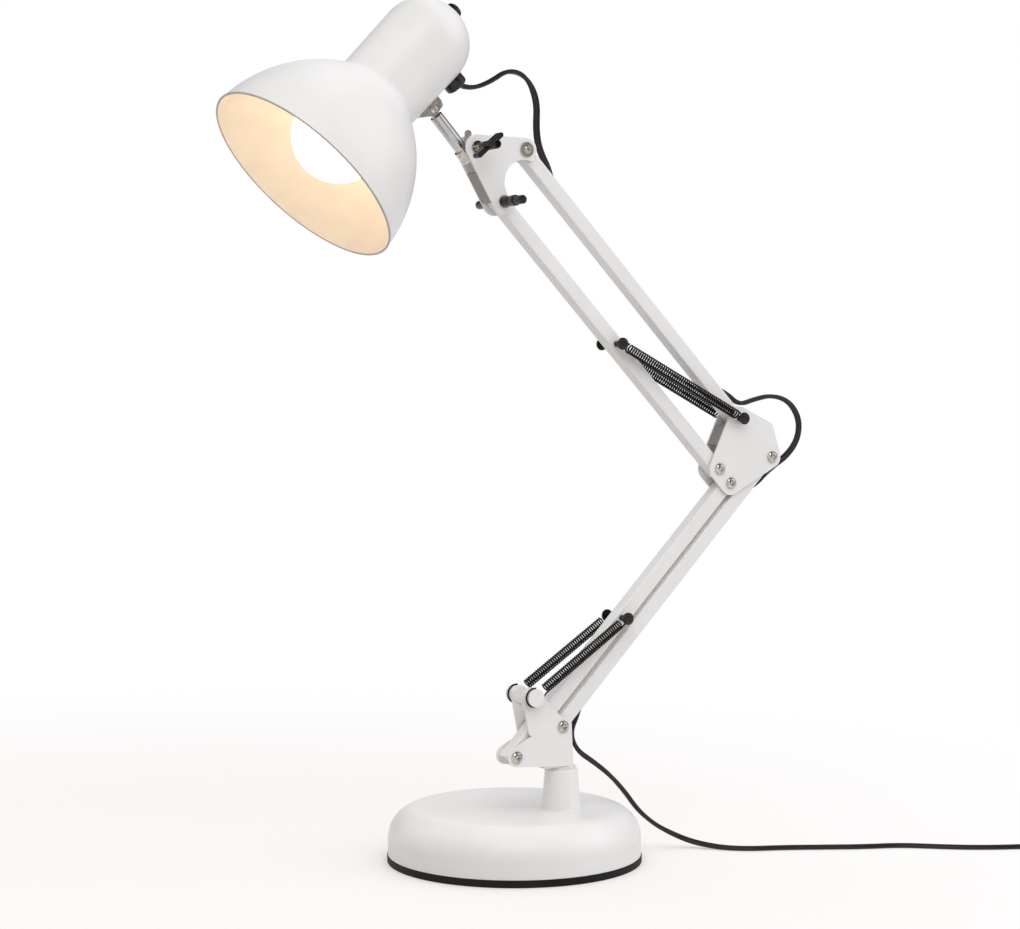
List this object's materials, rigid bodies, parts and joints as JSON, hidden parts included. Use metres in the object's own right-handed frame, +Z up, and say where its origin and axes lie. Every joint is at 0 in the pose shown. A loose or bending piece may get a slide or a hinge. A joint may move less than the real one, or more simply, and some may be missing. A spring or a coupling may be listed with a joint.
{
  "type": "swing-arm desk lamp",
  "caption": "Swing-arm desk lamp: round weighted base, two spring-balanced parallelogram arms, clamped stem, bell shade with push switch, flex and plug.",
  "frame": {"origin": "centre of the round base's underside", "axes": "+Z up; the arms work in a plane along X, 24 mm in front of the origin; -Y faces the viewer"},
  "size_m": [0.684, 0.3392, 0.5686],
  "materials": {
    "white_enamel": "gloss white powder coat",
    "zinc_steel": "bright zinc plate",
    "spring_steel": "drawn wire, black oxide",
    "chrome": "polished chrome",
    "iron": "raw casting",
    "black_plastic": "moulded black",
    "black_rubber": "moulded, matt",
    "black_flex": "PVC sheath",
    "nylon": "natural nylon",
    "phenolic": "moulded white",
    "brass": "plain",
    "opal_glass": "opal",
    "cap_nickel": "rolled screw cap"
  },
  "bodies": {
    "base": {"base_foot": "black_rubber", "base_cover": "white_enamel", "base_plate": "zinc_steel", "base_weight": "iron", "base_screws": "zinc_steel", "post_socket": "white_enamel", "post_ring_nut": "zinc_steel", "swivel_bush": "nylon", "cord_swivel_to_base": "black_flex", "cord_on_floor": "black_flex", "cord_coil": "black_flex", "plug_body": "black_plastic", "plug_pins": "brass"},
    "swivel": {"swivel_spindle": "zinc_steel", "swivel_washer": "nylon", "lower_bracket": "white_enamel", "spring_bosses": "white_enamel", "lower_pivot_bolts": "zinc_steel"},
    "lower_arm": {"lower_right_bar": "white_enamel", "lower_right_bar_bushes": "nylon", "cord_elbow_to_lower_arm": "black_flex", "cord_lower_arm_to_swivel": "black_flex"},
    "lower_link": {"lower_left_bar": "white_enamel", "lower_left_bar_bushes": "nylon", "lower_spring_pin": "black_plastic", "lower_spring_front": "spring_steel", "lower_spring_rear": "spring_steel"},
    "elbow": {"elbow_bracket": "white_enamel", "elbow_pivot_bolts": "zinc_steel", "elbow_pin": "black_plastic"},
    "upper_arm": {"upper_right_bar": "white_enamel", "upper_right_bar_bushes": "nylon", "cord_head_to_upper_arm": "black_flex", "cord_upper_arm_to_elbow": "black_flex"},
    "upper_link": {"upper_left_bar": "white_enamel", "upper_left_bar_bushes": "nylon", "upper_spring_pin": "black_plastic", "upper_spring_front": "spring_steel", "upper_spring_rear": "spring_steel"},
    "head": {"head_bracket": "white_enamel", "head_pivot_bolt": "zinc_steel", "head_washers": "zinc_steel", "wing_bolt": "zinc_steel"},
    "wing": {"wing_knob": "black_plastic"},
    "grip": {"grip_rod": "black_plastic"},
    "stem": {"stem": "chrome", "clamp_strap": "zinc_steel", "cord_stem_to_head": "black_flex"},
    "shade": {"shade": "white_enamel", "knuckle": "zinc_steel", "knuckle_screw": "zinc_steel", "cord_gland": "black_rubber", "switch_body": "black_plastic", "lamp_holder": "phenolic", "holder_carrier": "zinc_steel", "bulb_glass": "opal_glass", "bulb_cap": "cap_nickel", "cord_shade_to_stem": "black_flex"},
    "switch": {"switch_button": "black_plastic"}
  },
  "joints": [
    {"name": "base_swivel", "type": "hinge", "parent": "base", "child": "swivel", "pos_m": [0.022, -0.024, 0.064], "axis": [0, 0, 1], "range_deg": [-90, 90], "deforming": ["cord_swivel_to_base"]},
    {"name": "lower_arm_tilt", "type": "hinge", "parent": "swivel", "child": "lower_arm", "pos_m": [0.0185, -0.024, 0.092], "axis": [0, 1, 0], "range_deg": [-50, 4], "deforming": ["cord_lower_arm_to_swivel"]},
    {"name": "lower_link_turn", "type": "hinge", "parent": "swivel", "child": "lower_link", "pos_m": [-0.0175, -0.024, 0.0745], "axis": [0, 1, 0], "range_deg": [-50, 4], "deforming": ["lower_spring_front", "lower_spring_rear"]},
    {"name": "elbow_level", "type": "hinge", "parent": "lower_arm", "child": "elbow", "pos_m": [0.1935, -0.024, 0.268], "axis": [0, 1, 0], "range_deg": [-4, 50], "deforming": ["cord_elbow_to_lower_arm"]},
    {"name": "upper_arm_tilt", "type": "hinge", "parent": "elbow", "child": "upper_arm", "pos_m": [0.165, -0.024, 0.2955], "axis": [0, 1, 0], "range_deg": [-40, 20], "deforming": ["cord_upper_arm_to_elbow"]},
    {"name": "upper_link_turn", "type": "hinge", "parent": "elbow", "child": "upper_link", "pos_m": [0.148, -0.024, 0.2605], "axis": [0, 1, 0], "range_deg": [-40, 20], "deforming": ["upper_spring_front", "upper_spring_rear"]},
    {"name": "head_level", "type": "hinge", "parent": "upper_arm", "child": "head", "pos_m": [-0.0095, -0.024, 0.474], "axis": [0, 1, 0], "range_deg": [-20, 40], "deforming": ["cord_head_to_upper_arm"]},
    {"name": "head_tilt", "type": "hinge", "parent": "head", "child": "stem", "pos_m": [-0.047, -0.024, 0.4735], "axis": [0, 1, 0], "range_deg": [-30, 60], "deforming": ["cord_stem_to_head"]},
    {"name": "shade_tilt", "type": "hinge", "parent": "stem", "child": "shade", "pos_m": [-0.07724, -0.024, 0.49673], "axis": [0, 1, 0], "range_deg": [-30, 27], "deforming": ["cord_shade_to_stem"]},
    {"name": "wing_knob_turn", "type": "hinge", "parent": "head", "child": "wing", "pos_m": [-0.047, -0.024, 0.4735], "axis": [0, 1, 0], "continuous": true},
    {"name": "grip_knob_turn", "type": "hinge", "parent": "head", "child": "grip", "pos_m": [-0.0265, -0.024, 0.439], "axis": [0, 1, 0], "continuous": true},
    {"name": "switch_push", "type": "slide", "parent": "shade", "child": "switch", "axis": [-0.6947, 0, -0.7193], "range_m": [0, 0.0015], "stiffness_N_per_m": 1000, "springref_m": -0.001}
  ],
  "couplings": [
    {"joint": "lower_link_turn", "follows": "lower_arm_tilt", "ratio": 1},
    {"joint": "elbow_level", "follows": "lower_arm_tilt", "ratio": -1},
    {"joint": "upper_link_turn", "follows": "upper_arm_tilt", "ratio": 1},
    {"joint": "head_level", "follows": "upper_arm_tilt", "ratio": -1}
  ]
}
